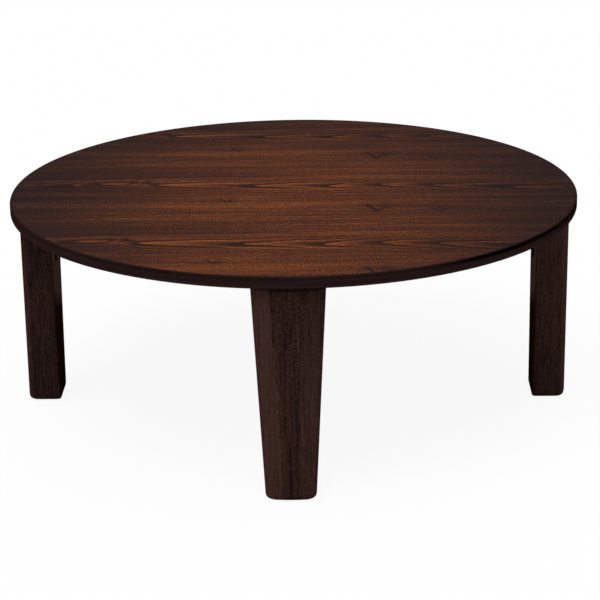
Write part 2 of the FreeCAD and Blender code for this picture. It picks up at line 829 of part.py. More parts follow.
def make_holders():
    """Four ceramic posts under the reflector, each bored for a tube's end."""
    holders = []
    low = tube_height.value - dim.holder_tail.value
    size = Vector(dim.holder_length.value, dim.holder_width.value, reflector_under.value - low)
    for end in (-1, 1):
        for side in (-1, 1):
            middle = Vector(dim.holder_spacing.value / 2 * end, dim.tube_spacing.value / 2 * side, low)
            post = Part.makeBox(size.x, size.y, size.z, middle - Vector(size.x / 2, size.y / 2, 0))
            hole_start = Vector(middle.x - size.x, middle.y, tube_height.value)
            hole_radius = dim.tube_diameter.value / 2 + dim.turning_clearance.value
            hole = Part.makeCylinder(hole_radius, size.x * 2, hole_start, Vector(1, 0, 0))
            holders.append(turned(post.cut(hole), SIDE_ANGLE))
    return group("tube_holders", holders)


def make_motor():
    """A flat can under the reflector's middle, bored for the fan's shaft."""
    body = new_body("fan_motor", SIDE_ANGLE)
    can = new_sketch(body, "XY_Plane", "motor_can", motor_under)
    draw_circle(can, ZERO, ZERO, dim.motor_diameter / 2)
    pad(body, can, dim.motor_height)
    low = motor_under.value + NEAR
    fillet(body, dim.can_round, lambda edge: is_level(edge) and edge.BoundBox.ZMax < low)
    bore = new_sketch(body, "XY_Plane", "motor_bore", motor_under)
    draw_circle(bore, ZERO, ZERO, dim.shaft_diameter / 2 + dim.turning_clearance)
    pocket(body, bore, dim.motor_height - dim.motor_lid, reverse=True)
    return body


def make_shaft():
    top = motor_under + dim.motor_height - dim.motor_lid - dim.shaft_gap
    return make_disc("fan_shaft", dim.shaft_diameter / 2, top - dim.shaft_length, dim.shaft_length)


def make_fan():
    """A hub on the shaft with tilted blades repeated round it."""
    hub_top = motor_under - dim.hub_drop
    hub_under = hub_top - dim.hub_height
    body = new_body("heater_fan", SIDE_ANGLE)
    hub = new_sketch(body, "XY_Plane", "fan_hub", hub_under)
    draw_circle(hub, ZERO, ZERO, dim.hub_diameter / 2)
    pad(body, hub, dim.hub_height)
    blade = body.newObject("Sketcher::SketchObject", "fan_blade")
    blade.AttachmentSupport = [(origin_feature(body, "XY_Plane"), "")]
    blade.MapMode = "FlatFace"
    blade.AttachmentOffset = Placement(Vector(), Rotation(Vector(1, 0, 0), dim.blade_pitch.value))
    blade.setExpression("AttachmentOffset.Rotation.Angle", dim.blade_pitch.text)
    blade.setExpression("AttachmentOffset.Base.z", (hub_under + dim.hub_height / 2).text)
    root = dim.hub_diameter / 4
    draw_polygon(
        blade,
        [
            (root, -root),
            (dim.fan_diameter / 2, -dim.blade_width / 2),
            (dim.fan_diameter / 2, dim.blade_width / 2),
            (root, root),
        ],
    )
    first_blade = pad(body, blade, dim.blade_sheet, symmetric=True)
    blades = body.newObject("PartDesign::PolarPattern", "fan_blades")
    blades.Originals = [first_blade]
    blades.Axis = (origin_feature(body, "Z_Axis"), [""])
    blades.Angle = 360
    blades.Occurrences = BLADES
    body.Tip = blades
    doc.recompute()
    bore = new_sketch(body, "XY_Plane", "fan_bore", hub_under)
    draw_circle(bore, ZERO, ZERO, dim.shaft_diameter / 2 + dim.turning_clearance)
    pocket(body, bore, dim.hub_height, reverse=True)
    return body


def make_thermostat():
    body = new_body("thermostat", SIDE_ANGLE)
    disc = new_sketch(body, "XY_Plane", "thermostat_disc", reflector_under - dim.thermostat_height)
    draw_circle(disc, dim.thermostat_reach, ZERO, dim.thermostat_diameter / 2)
    pad(body, disc, dim.thermostat_height)
    low = reflector_under.value - dim.thermostat_height.value + NEAR
    fillet(body, dim.can_round, lambda edge: edge.BoundBox.ZMax < low)
    return body


def make_terminal_block():
    """A ceramic terminal strip on the reflector's back, with two wire holes."""
    body = new_body("terminal_block", SIDE_ANGLE)
    plan = new_sketch(body, "XY_Plane", "terminal_plan", reflector_top)
    left = dim.terminal_reach - dim.terminal_length / 2
    right = dim.terminal_reach + dim.terminal_length / 2
    draw_box(plan, left, right, -dim.terminal_width / 2, dim.terminal_width / 2)
    pad(body, plan, dim.terminal_height)
    wires = new_sketch(body, "XZ_Plane", "terminal_holes")
    for step in (-1, 1):
        along = dim.terminal_reach + dim.terminal_length / 4 * step
        draw_circle(wires, along, reflector_top + dim.terminal_height / 2, dim.terminal_height / 4)
    pocket(body, wires, dim.terminal_width * 2, symmetric=True)
    return body


def make_inlet():
    """A moulded shroud on the housing's side, open outwards round its pins."""
    high = heater_top - dim.inlet_drop
    low = high - dim.inlet_height
    half = dim.inlet_width / 2
    wall = dim.inlet_wall
    body = new_body("power_inlet", SIDE_ANGLE)
    block = new_sketch(body, "YZ_Plane", "inlet_block", heater_half)
    draw_box(block, -half, half, low, high)
    pad(body, block, dim.inlet_length)
    fillet(body, wall, lambda edge: edge.BoundBox.XLength > NEAR)
    mouth = new_sketch(body, "YZ_Plane", "inlet_mouth", heater_half + dim.inlet_length)
    draw_box(mouth, wall - half, half - wall, low + wall, high - wall)
    pocket(body, mouth, dim.inlet_length - wall)
    return body


def make_inlet_pins():
    pins = []
    start = heater_half.value + dim.inlet_wall.value
    height = heater_top.value - dim.inlet_drop.value - dim.inlet_height.value / 2
    radius = dim.inlet_pin_diameter.value / 2
    for index in range(INLET_PINS):
        across = dim.inlet_pin_pitch.value * (index - (INLET_PINS - 1) / 2)
        pin = Part.makeCylinder(
            radius, dim.inlet_pin_length.value, Vector(start, across, height), Vector(1, 0, 0)
        )
        tip = [edge for edge in pin.Edges if edge.BoundBox.XMin > start + NEAR]
        pins.append(turned(pin.makeFillet(radius / 2, tip), SIDE_ANGLE))
    return group("inlet_pins", pins)


def make_guard():
    """A pressed pan with a rim against the housing's flange and rows of slots through its floor."""
    body = new_body("heater_guard", SIDE_ANGLE)
    rim = new_sketch(body, "XY_Plane", "guard_rim", flange_under)
    draw_round_box(rim, guard_rim_half, guard_rim_half, dim.guard_corner)
    pad(body, rim, dim.guard_wall, reverse=True)
    pan = new_sketch(body, "XY_Plane", "guard_pan", guard_under)
    draw_round_box(pan, guard_half, guard_half, dim.guard_corner)
    pad(body, pan, dim.guard_drop - dim.guard_wall)
    low = guard_under.value + NEAR
    fillet(body, dim.guard_bottom_round, lambda edge: edge.BoundBox.ZMax < low)
    inside = new_sketch(body, "XY_Plane", "guard_inside", flange_under)
    hollow = guard_half - dim.guard_wall
    draw_round_box(inside, hollow, hollow, dim.guard_corner - dim.guard_wall)
    pocket(body, inside, dim.guard_drop - dim.guard_wall)
    slots = new_sketch(body, "XY_Plane", "guard_slots", guard_under)
    first_row = -(dim.slot_pitch * (SLOT_ROWS - 1) / 2)
    for side in (-1, 1):
        near = dim.slot_rib / 2 * side
        far = (dim.slot_rib / 2 + dim.slot_length) * side
        draw_box(slots, near, far, first_row - dim.slot_width / 2, first_row + dim.slot_width / 2)
    first_slots = pocket(body, slots, dim.guard_wall * 2, reverse=True)
    rows = body.newObject("PartDesign::LinearPattern", "guard_slot_rows")
    rows.Originals = [first_slots]
    rows.Direction = (origin_feature(body, "Y_Axis"), [""])
    rows.setExpression("Length", (dim.slot_pitch * (SLOT_ROWS - 1)).text)
    rows.Occurrences = SLOT_ROWS
    body.Tip = rows
    doc.recompute()
    holes = new_sketch(body, "XY_Plane", "guard_holes", flange_under)
    for along, across in guard_screws:
        draw_circle(holes, along, across, screw_hole)
    pocket(body, holes, dim.guard_wall)
    return body


def make_heater_screws(label, places, under, length):
    screws = []
    for along, across in places:
        seat = Vector(along.value, across.value, under.value)
        screws.append(turned(screw_shape(seat, Vector(0, 0, 1), length), SIDE_ANGLE))
    return group(label, screws)


def make_heater():
    guard_screw_length = dim.screw_length / 4
    return [
        make_housing(),
        make_reflector(),
        make_tubes(),
        make_holders(),
        make_motor(),
        make_shaft(),
        make_fan(),
        make_thermostat(),
        make_terminal_block(),
        make_inlet(),
        make_inlet_pins(),
        make_guard(),
        make_heater_screws("guard_screws", guard_screws, flange_under - dim.guard_wall, guard_screw_length),
        make_heater_screws("heater_screws", mount_screws, flange_under, dim.screw_length),
    ]


pieces = make_top()
for side, turn in SIDES:
    pieces.append(make_rail(side, turn))
for station, turn in STATIONS:
    pieces.append(make_corner_block(station, turn))
    pieces.append(make_bracket(station, turn))
    pieces.append(make_spring(station, turn))
    pieces.append(make_leg(station, turn))
    pieces.append(make_leg_plate(station, turn))
    pieces.append(make_plate_screws(station, turn))
    pieces.append(make_foot_pad(station, turn))
pieces.append(make_dowels())
pieces.append(make_cross_rail("cross_rail_near", -1))
pieces.append(make_cross_rail("cross_rail_far", 1))
pieces.append(make_board_pads())
pieces.append(make_hinge_pins())
pieces.append(make_base_screws())
pieces.append(make_spring_screws())
pieces += make_heater()
doc.recompute()

# Every object has to be sound before anything is written
for item in doc.Objects:
    if "Invalid" in item.State or "Error" in item.State:
        raise ValueError(f"{item.Label} failed: {item.State}")
for piece in pieces:
    if piece.Shape.isNull() or not piece.Shape.isValid():
        raise ValueError(f"{piece.Label} has no sound shape")

os.makedirs("parts", exist_ok=True)
for piece in pieces:
    piece.Shape.exportStep(f"parts/{piece.Label}.step")
    box = piece.Shape.BoundBox
    print(f"{piece.Label}: {len(piece.Shape.Solids)} solids, {piece.Shape.Volume / 1000:.1f} cm3,",
          f"z {box.ZMin:.2f} to {box.ZMax:.2f}")
print(f"{len(pieces)} pieces")
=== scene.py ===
import json
import math
import bmesh
import bpy
from mathutils import Matrix, Vector


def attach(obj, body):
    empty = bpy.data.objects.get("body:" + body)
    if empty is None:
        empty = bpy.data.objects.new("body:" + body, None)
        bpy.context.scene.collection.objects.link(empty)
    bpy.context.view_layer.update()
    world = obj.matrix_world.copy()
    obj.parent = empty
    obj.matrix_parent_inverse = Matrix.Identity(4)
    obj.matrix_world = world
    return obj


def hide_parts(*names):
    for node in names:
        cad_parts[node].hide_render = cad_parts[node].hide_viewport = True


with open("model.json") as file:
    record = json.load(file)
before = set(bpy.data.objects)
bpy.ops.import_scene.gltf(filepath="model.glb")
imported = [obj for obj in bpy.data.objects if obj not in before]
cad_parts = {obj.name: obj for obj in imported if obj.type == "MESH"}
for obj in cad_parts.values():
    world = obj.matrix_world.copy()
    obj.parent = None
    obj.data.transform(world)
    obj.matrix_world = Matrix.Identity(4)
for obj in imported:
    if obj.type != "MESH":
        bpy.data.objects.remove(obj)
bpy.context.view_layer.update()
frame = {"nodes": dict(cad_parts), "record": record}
nodes = frame["nodes"]
scene = bpy.context.scene
scene.view_settings.view_transform = "Standard"
print("frame loaded:", len(nodes), "nodes")


def screen(red, green, blue):  # a screen colour from 0 to 255 as a shader colour
    def channel(value):
        value /= 255
        return value / 12.92 if value <= 0.04045 else ((value + 0.055) / 1.055) ** 2.4
    return (channel(red), channel(green), channel(blue), 1.0)


def put(tree, kind, links=None, **settings):  # a new node with its settings and its inputs
    node = tree.nodes.new(kind)
    for name, value in settings.items():
        setattr(node, name, value)
    for name, value in (links or {}).items():
        join(tree, node.inputs[name], value)
    return node


def join(tree, socket, value):
    if isinstance(value, Term):
        value = value.socket
    if isinstance(value, bpy.types.NodeSocket):
        tree.links.new(value, socket)
    else:
        socket.default_value = value


class Term:  # a shader value with the usual arithmetic
    def __init__(self, tree, socket):
        self.tree = tree
        self.socket = socket

    def made(self, operation, *values, clamp=False):
        links = dict(enumerate((self,) + values))
        node = put(self.tree, "ShaderNodeMath", links, operation=operation, use_clamp=clamp)
        return Term(self.tree, node.outputs[0])

    def __add__(self, other):
        return self.made("ADD", other)

    def __sub__(self, other):
        return self.made("SUBTRACT", other)

    def __mul__(self, other):
        return self.made("MULTIPLY", other)

    def __truediv__(self, other):
        return self.made("DIVIDE", other)

    def __pow__(self, other):
        return self.made("POWER", other)

    def inverse(self):  # one less the value
        return self.made("MULTIPLY_ADD", -1.0, 1.0)

    def size(self):
        return self.made("ABSOLUTE")

    def floor(self):
        return self.made("FLOOR")

    def part(self):
        return self.made("FRACT")

    def larger(self, other):
        return self.made("MAXIMUM", other)

    def smaller(self, other):
        return self.made("MINIMUM", other)

    def bell(self, width):  # 1 at zero, falling off over the width
        return (((self / width) ** 2.0) * -1.0).made("EXPONENT")

    def limited(self):  # kept from 0 to 1
        return self.made("ADD", 0.0, clamp=True)

    def step(self, low, high):  # smooth step from 0 at low to 1 at high
        links = {"Value": self, "From Min": low, "From Max": high}
        node = put(self.tree, "ShaderNodeMapRange", links, interpolation_type="SMOOTHSTEP")
        return Term(self.tree, node.outputs["Result"])

    def swing(self, margin):  # a noise drawn out to run from -0.5 to 0.5
        return self.step(0.5 - margin, 0.5 + margin) - 0.5


def vector(tree, across, along, up):
    return put(tree, "ShaderNodeCombineXYZ", {0: across, 1: along, 2: up}).outputs[0]


def noise(tree, spot, scale=1.0, detail=2.0, roughness=0.5, distortion=0.0):
    links = {"Vector": spot, "Scale": scale, "Detail": detail, "Roughness": roughness, "Distortion": distortion}
    return Term(tree, put(tree, "ShaderNodeTexNoise", links).outputs["Fac"])


def ramp(tree, value, stops):
    node = put(tree, "ShaderNodeValToRGB", {"Fac": value})
    edge = node.color_ramp.elements
    while len(edge) < len(stops):
        edge.new(0.5)
    for element, (position, colour) in zip(edge, stops):
        element.position = position
        element.color = colour
    return node.outputs["Color"]


def blend(tree, share, first, second):
    node = put(tree, "ShaderNodeMix", {0: share, 6: first, 7: second}, data_type="RGBA", blend_type="MIX")
    return node.outputs[2]


def curve(tree, value, points):  # a smooth curve through points, of any range both ways
    near, far = points[0][0], points[-1][0]
    low = min(height for spot, height in points)
    rise = max(height for spot, height in points) - low
    node = put(tree, "ShaderNodeFloatCurve", {"Value": (value - near) / (far - near)})
    line = node.mapping.curves[0].points
    for index, (spot, height) in enumerate(points):
        share = ((spot - near) / (far - near), (height - low) / rise)
        if index < 2:  # a new curve already has two points
            line[index].location = share
        else:
            line.new(*share)
    node.mapping.update()
    return Term(tree, node.outputs["Value"]) * rise + low


def newGroup(name, inputs, outputs):
    tree = bpy.data.node_groups.new(name, "ShaderNodeTree")
    for label, kind, value in inputs:
        socket = tree.interface.new_socket(label, in_out="INPUT", socket_type=kind)
        if value is not None:
            socket.default_value = value
    for label, kind in outputs:
        tree.interface.new_socket(label, in_out="OUTPUT", socket_type=kind)
    source = tree.nodes.new("NodeGroupInput")
    sink = tree.nodes.new("NodeGroupOutput")
    return tree, source.outputs, sink.inputs


def useGroup(tree, group, links):
    node = put(tree, "ShaderNodeGroup", node_tree=group)
    for name, value in links.items():
        join(tree, node.inputs[name], value)
    return {socket.name: Term(tree, socket) for socket in node.outputs}


def makeFibreGroup():  # fibres drawn out along the first coordinate, which comes in millimetres
    tree, given, out = newGroup(
        "woodFibre",
        [("Vector", "NodeSocketVector", None), ("Length", "NodeSocketFloat", 300.0),
         ("Width", "NodeSocketFloat", 10.0), ("Seed", "NodeSocketFloat", 0.0)],
        [("Streak", "NodeSocketFloat"), ("Fibre", "NodeSocketFloat"), ("Pore", "NodeSocketFloat")],
    )
    cut = put(tree, "ShaderNodeSeparateXYZ", {0: given["Vector"]}).outputs
    length = Term(tree, given["Length"])
    width = Term(tree, given["Width"])
    along, across, deep = (Term(tree, cut[index]) for index in range(3))
    depth = deep / width + Term(tree, given["Seed"])
    broad = vector(tree, along / length, across / width, depth)
    fine = vector(tree, along / length * 4.0, across / width * 5.0, depth * 3.0)
    dash = vector(tree, along / length * 16.0, across / width * 11.0, depth * 7.0)
    join(tree, out["Streak"], noise(tree, broad, detail=3.0, roughness=0.6, distortion=0.4))
    join(tree, out["Fibre"], noise(tree, fine, detail=4.0, roughness=0.65))
    join(tree, out["Pore"], noise(tree, dash, detail=1.0).step(0.6, 0.74))
    return tree


def makeKnotGroup():  # a pin knot: a slanting dark stroke with a branch, a lit mouth between them and a shade
    tree, given, out = newGroup(
        "pinKnot",
        [("Along", "NodeSocketFloat", 0.0), ("Beside", "NodeSocketFloat", 0.0), ("Size", "NodeSocketFloat", 18.0)],
        [("Dark", "NodeSocketFloat"), ("Lip", "NodeSocketFloat")],
    )
    size = Term(tree, given["Size"])
    along = Term(tree, given["Along"]) / size
    beside = Term(tree, given["Beside"]) / size
    stroke = along.bell(0.95) * (beside / (along * along * 0.22 + 0.12)).bell(1.0)
    branch = (along - 0.6 + beside * 0.25).bell(0.16) * (beside - 0.4).bell(0.4) * 0.6
    shade = (along + 0.2).bell(0.9) * (beside - 1.2).bell(0.55) * 0.3
    lip = (along - 0.1).bell(0.35) * (beside - 0.32).bell(0.2)
    join(tree, out["Dark"], (stroke + branch + shade).limited())
    join(tree, out["Lip"], lip)
    return tree


def makeWearGroup():  # uneven polish and fine specks
    tree, given, out = newGroup(
        "surfaceWear",
        [("Vector", "NodeSocketVector", None), ("Scale", "NodeSocketFloat", 30.0)],
        [("Cloud", "NodeSocketFloat"), ("Speck", "NodeSocketFloat")],
    )
    scale = Term(tree, given["Scale"])
    join(tree, out["Cloud"], noise(tree, given["Vector"], scale, detail=4.0, roughness=0.6))
    join(tree, out["Speck"], noise(tree, given["Vector"], scale * 22.0, detail=2.0))
    return tree


fibreGroup = makeFibreGroup()
knotGroup = makeKnotGroup()
wearGroup = makeWearGroup()


def newMaterial(name):
    material = bpy.data.materials.new(name)
    material.use_nodes = True
    tree = material.node_tree
    return material, tree, tree.nodes["Principled BSDF"]


def place(tree):
    return put(tree, "ShaderNodeTexCoord").outputs["Object"]


def split(tree, source):  # metres to millimetres, one coordinate each
    cut = put(tree, "ShaderNodeSeparateXYZ", {0: source}).outputs
    return [Term(tree, socket) * 1000.0 for socket in cut]


def bump(tree, shader, height, strength):
    node = put(tree, "ShaderNodeBump", {"Height": height, "Strength": strength, "Distance": 0.0005})
    tree.links.new(node.outputs["Normal"], shader.inputs["Normal"])


# Face veneer: three slip-matched leaves with a flame figure along the middle of each, all in millimetres
veneerSet = {
    "leaf": 310.0, "slip": 5.0, "ring": 100.0, "flame": 38.0, "swell": 0.6,
    # along the grain, across it, size, and the stroke's slant in degrees
    "knots": [(-108, -66, 13, -53), (124, -114, 20, -65), (226, -128, 11, -50), (-245, 43, 16, -12),
              (343, 1, 9, -20)],
    # along the grain: the flame's middle line, its year rings and its strength
    "middle": [(-450, 20), (-374, 24), (-359, 28), (-306, 34), (-269, 37), (-246, 41), (-228, 28), (-200, 25),
               (-106, 20), (-67, 17), (10, 17), (56, 14), (136, 17), (217, 15), (260, 10), (337, 1), (450, -6)],
    "rings": [(-450, 0.4), (-385, 0.8), (-359, 1.0), (-340, 1.7), (-322, 1.97), (-300, 2.1), (-280, 2.15),
              (-262, 1.9), (-250, 1.4), (-241, 0.95), (-222, 1.0), (-200, 1.15), (-62, 2.0), (55, 3.0),
              (137, 4.0), (224, 5.0), (338, 6.0), (450, 6.6)],
    "strength": [(-450, 0.6), (-380, 0.75), (-320, 0.6), (-275, 0.6), (-245, 0.45), (-215, 0.9), (-50, 1.0),
                 (60, 0.85), (140, 0.65), (224, 0.7), (338, 0.85), (450, 0.6)],
    # how much each effect tells in the tone
    "streak": 0.24, "fibre": 0.2, "broad": 0.26, "dash": 0.12, "lit": 0.95, "pore": 0.1,
    "knotDark": 0.55, "knotLip": 0.12,
    # stain colours under a painted pool of light in the middle of the board, and dimmer ones for its ends
    "bright": [(0.0, screen(32, 16, 18)), (0.3, screen(62, 32, 23)), (0.55, screen(92, 48, 26)),
               (0.8, screen(126, 66, 29)), (1.0, screen(156, 90, 42))],
    "dim": [(0.0, screen(22, 12, 14)), (0.5, screen(39, 21, 19)), (0.75, screen(60, 33, 24)),
            (1.0, screen(108, 58, 34))],
    "sheen": 0.05, "relief": 0.12,
}


def makeVeneer():
    use = veneerSet
    material, tree, shader = newMaterial("faceVeneer")
    x, y = split(tree, place(tree))[:2]
    leaf = ((y + use["leaf"] / 2) / use["leaf"]).floor()
    v = y - leaf * use["leaf"]
    u = x - leaf * use["slip"]
    bent = v
    knots = []
    for along, across, size, slant in use["knots"]:
        lean, rise = math.cos(math.radians(slant)), math.sin(math.radians(slant))
        right, back = u - along, v - across
        links = {"Along": right * lean + back * rise, "Beside": right * -rise + back * lean, "Size": size}
        knots.append(useGroup(tree, knotGroup, links))
        bent = bent - back * right.bell(size * 2.2) * back.bell(size * 1.3) * use["swell"]  # grain parts round a knot
    sway = (noise(tree, vector(tree, u / 120.0, v / 11.0, 3.0), detail=3.0) - 0.5) * 30.0
    drift = (noise(tree, vector(tree, u / 90.0, v / 30.0, 9.0), detail=2.0) - 0.5) * 8.0
    away = (v + drift - curve(tree, u, use["middle"])).size()
    ring = (curve(tree, u + sway, use["rings"]) - away ** 1.5 / use["ring"] + 40.0).part()  # 40 keeps it above zero
    lit = (ring ** 1.6).inverse()
    flame = (away.bell(use["flame"]) * 0.9 + 0.1) * curve(tree, u, use["strength"])
    grain = vector(tree, u, bent + drift, leaf)
    wood = useGroup(tree, fibreGroup, {"Vector": grain, "Length": 300.0, "Width": 9.0})
    plain = vector(tree, u, bent, 0.0)
    broad = useGroup(tree, fibreGroup, {"Vector": plain, "Length": 520.0, "Width": 34.0, "Seed": 4.0})
    dash = noise(tree, vector(tree, u / 11.0, bent / 4.2, leaf), detail=2.0).swing(0.14)
    speck = noise(tree, vector(tree, u / 2.5, bent / 5.5, leaf + 5.0), detail=1.0).swing(0.14)
    # painted pool of light: lighter in the middle of the board, darker towards both ends and towards the rear
    paintedLightPool = (x + 5.0).size().step(30.0, 450.0).inverse() * (y.step(30.0, 450.0) * -0.74 + 1.0)
    tone = wood["Streak"].swing(0.2) * use["streak"] + wood["Fibre"].swing(0.2) * use["fibre"] + 0.5
    tone = tone + broad["Streak"].swing(0.2) * use["broad"] + dash * use["dash"]
    tone = tone + speck * (paintedLightPool * 0.08 + flame * -0.15 + 0.23) + (lit - 0.68) * flame * use["lit"]
    for mark in knots:
        tone = tone - mark["Dark"] * use["knotDark"] + mark["Lip"] * use["knotLip"]
    tone = (tone - wood["Pore"] * use["pore"]).limited()
    colour = blend(tree, paintedLightPool, ramp(tree, tone, use["dim"]), ramp(tree, tone, use["bright"]))
    tree.links.new(colour, shader.inputs["Base Color"])
    join(tree, shader.inputs["Roughness"], (wood["Fibre"] - 0.5) * 0.2 + 0.5)
    shader.inputs["Specular IOR Level"].default_value = use["sheen"]
    bump(tree, shader, wood["Fibre"] - wood["Pore"] * 0.5, use["relief"])
    return material


# Solid wood between two tones of stain, for the edge band, the frame and its dowels
def makeStained(name, low, high, source, length, width, sheen=0.18, marks=None, deep=None):
    material, tree, shader = newMaterial(name)
    wood = useGroup(tree, fibreGroup, {"Vector": source(tree), "Length": length, "Width": width})
    tone = (wood["Streak"] - 0.5) * 1.1 + (wood["Fibre"] - 0.5) * 0.7 + 0.5 - wood["Pore"] * 0.2
    # for the edge band, the added tone is the rim's painted highlights and painted shade
    tone = (tone + marks(tree) if marks else tone).limited()
    stops = [(0.0, deep or low), (0.15, low), (0.9, high)]
    tree.links.new(ramp(tree, tone, stops), shader.inputs["Base Color"])
    join(tree, shader.inputs["Roughness"], (wood["Fibre"] - 0.5) * 0.25 + 0.5)
    shader.inputs["Specular IOR Level"].default_value = sheen
    bump(tree, shader, wood["Fibre"] - wood["Pore"] * 0.6, 0.15)
    return material


# Painted highlights and painted shade on the rim, in millimetres: each mark has its height, its spread and its
# strength
rimSet = {
    "radius": 450.0,
    "lowerArris": (334.6, 1.1, 0.5), "underUpper": (347.2, 1.8, 0.24),
    "lip": (348.8, 349.7), "lipTone": 0.35,
    "leftSide": (-400.0, -250.0), "leftMark": (338.5, 3.0, 0.45), "leftTone": 0.08,
    "rightSide": (350.0, 130.0), "rightMark": (337.5, 2.5, 0.4), "rightShade": (338.5, 345.0), "rightTone": 0.4,
}


def roundRim(tree):  # grain that runs round the table's axis
    x, y, z = split(tree, place(tree))
    turn = y.made("ARCTAN2", x)
    return vector(tree, turn * rimSet["radius"], z, (x * x + y * y).made("SQRT"))


def rimPaintedLight(tree):  # painted highlights on the lower arris and on the top of the upper one, painted shade just below the upper arris, the left side painted lighter, the right side painted darker above a highlight on its lower arris
    use = rimSet
    x, z = split(tree, place(tree))[::2]

    def mark(height, spread, strength):
        return (z - height).bell(spread) * strength

    lip = z.step(*use["lip"])
    centre, reach = use["rightSide"]
    right = (x - centre).bell(reach)
    left = x.step(*use["leftSide"]).inverse()
    # painted highlight on the lower arris and the top lip, painted shade below the upper arris
    arrisPaintedLight = mark(*use["lowerArris"]) - mark(*use["underUpper"]) + lip * use["lipTone"]
    # left side: a painted highlight on the lower arris and painted light over the whole face
    leftPaintedLight = mark(*use["leftMark"]) + use["leftTone"]
    # right side: a painted highlight on the lower arris and painted shade on the face above it
    dark = mark(*use["rightMark"]) - z.step(*use["rightShade"]) * lip.inverse() * use["rightTone"]
    return arrisPaintedLight + left * leftPaintedLight + right * dark


# Two of the rails lie across the others: where their inner face starts, and where they end
railSet = {"face": (240.8, 241.0), "end": (201.9, 202.1)}


def alongRail(tree):  # grain along each of the frame's rails, which lie on the diagonals
    x, y, z = split(tree, place(tree))
    rising, falling = (x + y) * math.sqrt(0.5), (x - y) * math.sqrt(0.5)
    turned = rising.size().step(*railSet["face"]) * falling.size().step(*railSet["end"]).inverse()
    along = rising + (falling - rising) * turned
    beside = falling + (rising - falling) * turned
    return vector(tree, along, z, beside)


def upright(tree):
    x, y, z = split(tree, place(tree))
    return vector(tree, z, x, y)


# Leg wood in millimetres: a dark middle zone between paler strips, and an inner face with painted light above and
# painted shade below
legSet = {
    # third colour: painted light on the upper inner face; fourth: painted shade below it and at its corner
    "light": screen(66, 45, 40), "dark": screen(24, 16, 16), "paintedLitInner": screen(88, 66, 60), "deep": screen(9, 6, 6),
    "zone": 12.5, "spread": 16.0, "wander": 16.0, "height": 330.0,
    "footHalf": 37.0, "taper": 0.0518,  # half the width at the foot, and what it gains per millimetre of height
    "streak": 0.2, "lines": 0.32, "dash": 0.24, "speck": 0.2, "fleck": 0.3,
    "zoneTone": 0.37, "pore": 0.12, "check": 0.55, "flank": 0.22,
    "underBoard": (322.0, 324.0), "foot": (0.0, 9.0), "footTone": 0.35,
    "slant": 0.42, "slantReach": 60.0, "paintedLitFrom": (138.0, 184.0),
    "sheen": 0.0, "relief": 0.18,
}


def makeLegWood():
    use = legSet
    material, tree, shader = newMaterial("legWood")
    spot = put(tree, "ShaderNodeAttribute", attribute_name="grain").outputs["Vector"]
    across, deep, up = split(tree, spot)
    fibres = {"Vector": vector(tree, up, across, deep), "Length": 260.0, "Width": 9.0, "Seed": 2.0}
    wood = useGroup(tree, fibreGroup, fibres)
    beside = across.step(-5.0, 5.0)  # 1 on the right half of the leg
    ragged = noise(tree, vector(tree, up / 30.0, beside * 7.0, 1.0), detail=4.0, roughness=0.7)
    wander = (ragged - 0.5) * use["wander"]
    half = (up / use["height"]) ** 2.0 * use["spread"] + use["zone"] + wander
    zone = (across.size() - half).step(-0.8, 0.8).inverse()
    edge = across.size() - up * use["taper"] - use["footHalf"]
    flank = edge.step(-1.2, -0.2)
    fleck = noise(tree, vector(tree, up / 1.9, across / 9.0, deep / 9.0), detail=2.0).swing(0.16)
    fleck = fleck * zone * (up.step(120.0, 240.0) * 0.8 + 0.2)
    lines = noise(tree, vector(tree, up / 70.0, across / 1.8, deep / 1.8), detail=2.0).swing(0.2)
    dash = noise(tree, vector(tree, up / 9.0, across / 1.6, deep / 1.6), detail=1.0).swing(0.16)
    check = (across + wander * 0.06 - 0.3).bell(0.9) * up.step(8.0, 25.0) * up.step(78.0, 104.0).inverse()
    speck = noise(tree, vector(tree, up / 3.2, across / 2.4, deep / 2.4), detail=1.0).swing(0.14)
    tone = wood["Streak"].swing(0.2) * use["streak"] + lines * use["lines"] + dash * use["dash"]
    tone = tone + speck * use["speck"] + 0.82
    # painted shade: the right-hand strip of the outer face darker than the left, more so higher up
    tone = tone - beside * zone.inverse() * (up.step(150.0, 300.0) * 0.14 + 0.18)
    tone = tone - zone * use["zoneTone"] - wood["Pore"] * use["pore"] + fleck * use["fleck"]
    tone = tone - check * use["check"] - flank * use["flank"]
    tone = tone - up.step(*use["underBoard"]) * (flank * -0.7 + 0.4)  # painted shadow of the board: a dark line at the top of the outer face, lighter at the top of the flanks
    tone = tone - up.step(*use["foot"]).inverse() * use["footTone"]  # darker over the lowest 9 mm, at the foot
    tone = tone + flank * (up.step(20.0, 320.0) - 0.43) * 0.17
    colour = ramp(tree, tone.limited(), [(0.1, use["dark"]), (0.95, use["light"])])
    inside = deep.step(1.0, 3.0).inverse()
    y = split(tree, place(tree))[1]
    slant = y.smaller(use["slantReach"]).larger(-use["slantReach"]) * use["slant"]
    paintedLitInner = (up + slant).step(*use["paintedLitFrom"])  # painted light on the upper inner face, and painted shade below it
    colour = blend(tree, inside * paintedLitInner, colour, use["paintedLitInner"])
    # painted shade: the lower inner face, and the strip of it next to the rounded corner
    shade = (inside * paintedLitInner.inverse() * 0.5).larger(inside * edge.step(-4.5, -2.5) * 0.75)
    colour = blend(tree, shade, colour, use["deep"])
    tree.links.new(colour, shader.inputs["Base Color"])
    join(tree, shader.inputs["Roughness"], (wood["Fibre"] - 0.5) * 0.25 + 0.6)
    shader.inputs["Specular IOR Level"].default_value = use["sheen"]
    bump(tree, shader, wood["Fibre"] - wood["Pore"] * 0.6, use["relief"])
    return material


